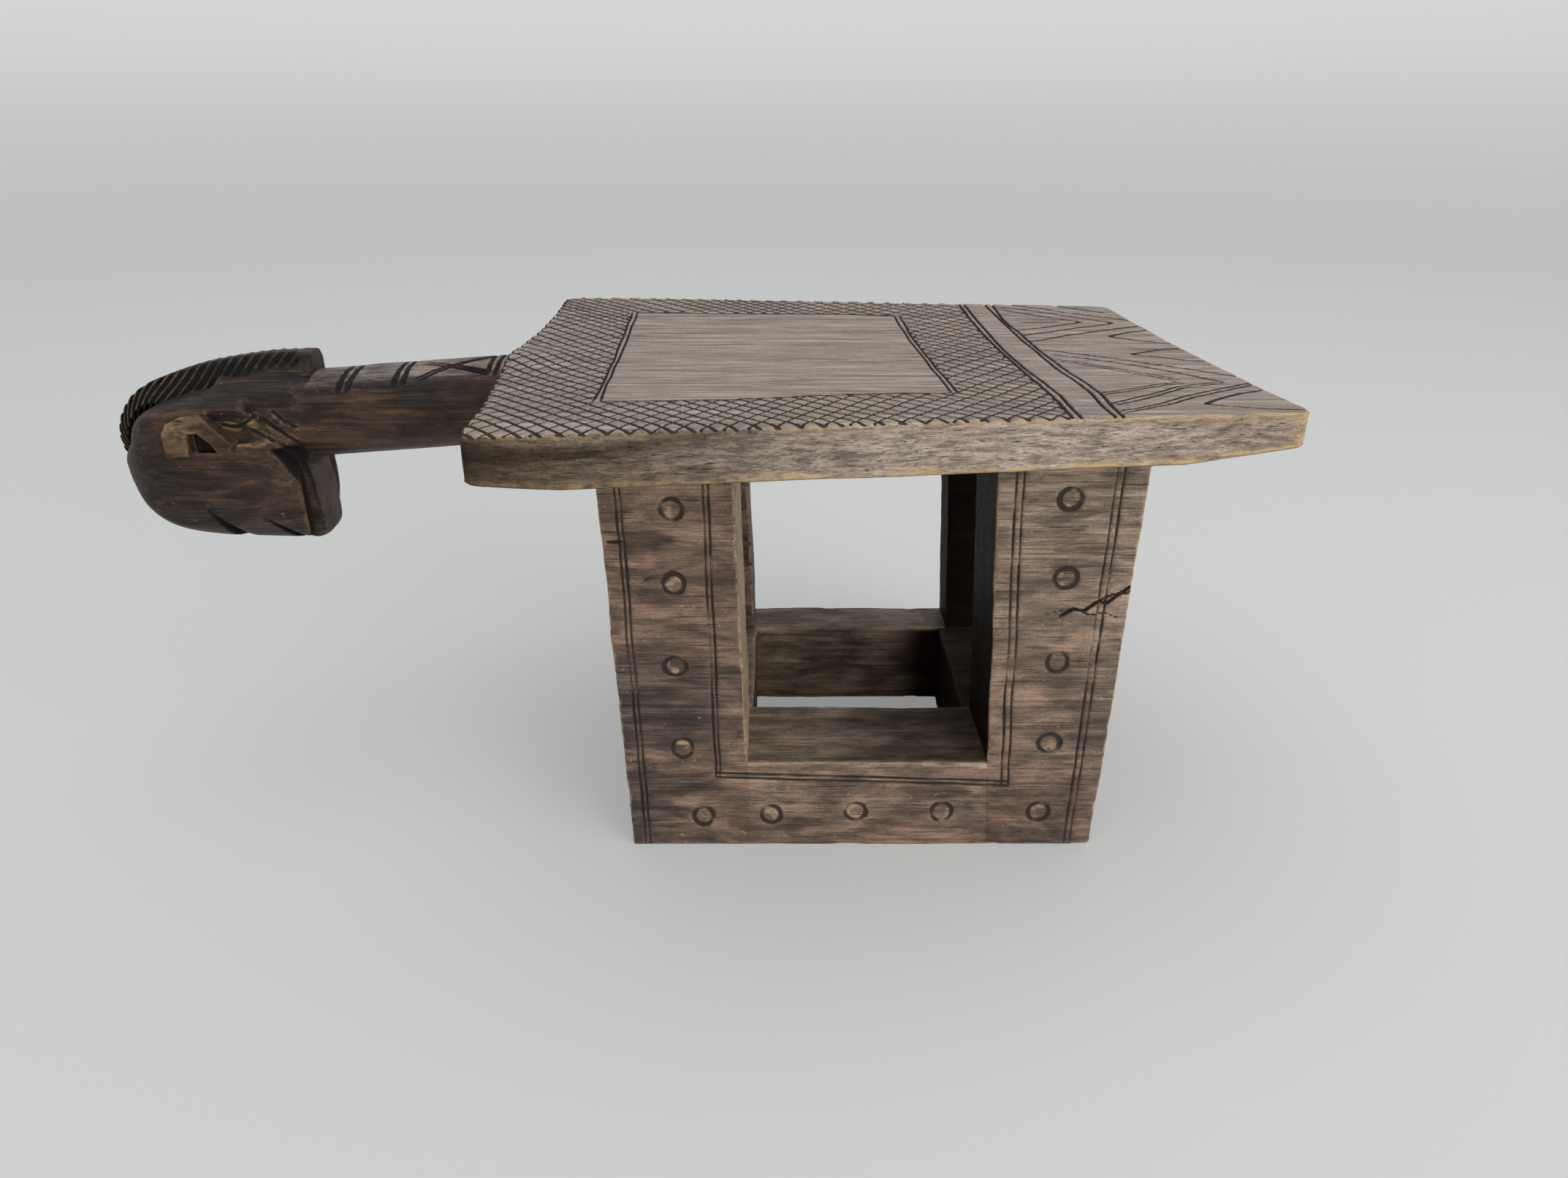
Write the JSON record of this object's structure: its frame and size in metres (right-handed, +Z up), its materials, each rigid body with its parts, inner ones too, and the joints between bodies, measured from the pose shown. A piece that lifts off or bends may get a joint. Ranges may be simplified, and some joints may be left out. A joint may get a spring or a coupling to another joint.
{
  "type": "carved wooden stool",
  "caption": "Low stool cut from one block of dark wood: a wide dished seat on an open box base, with a round neck and a crested head at one end as its handle.",
  "frame": {"origin": "on the floor, under the middle of the whole stool's bounding box", "axes": "+X from the head end to the narrow end of the seat, +Y from the front face with the carved rings to the back, +Z up"},
  "size_m": [0.575, 0.3382, 0.245],
  "materials": {
    "seat_wood": "dry, worn, greyish brown with dark cut lines",
    "base_wood": "dull reddish brown, dusty in the cuts",
    "head_wood": "dark brown, lightly polished by handling"
  },
  "bodies": {
    "root": {"seat_slab": "seat_wood", "front_left_upright": "base_wood", "front_right_upright": "base_wood", "front_rail": "base_wood", "rear_left_upright": "base_wood", "rear_right_upright": "base_wood", "rear_rail": "base_wood", "left_rail": "base_wood", "right_rail": "base_wood", "neck": "head_wood", "head": "head_wood", "hair_crest": "head_wood", "front_ear": "head_wood", "rear_ear": "head_wood"}
  },
  "joints": []
}
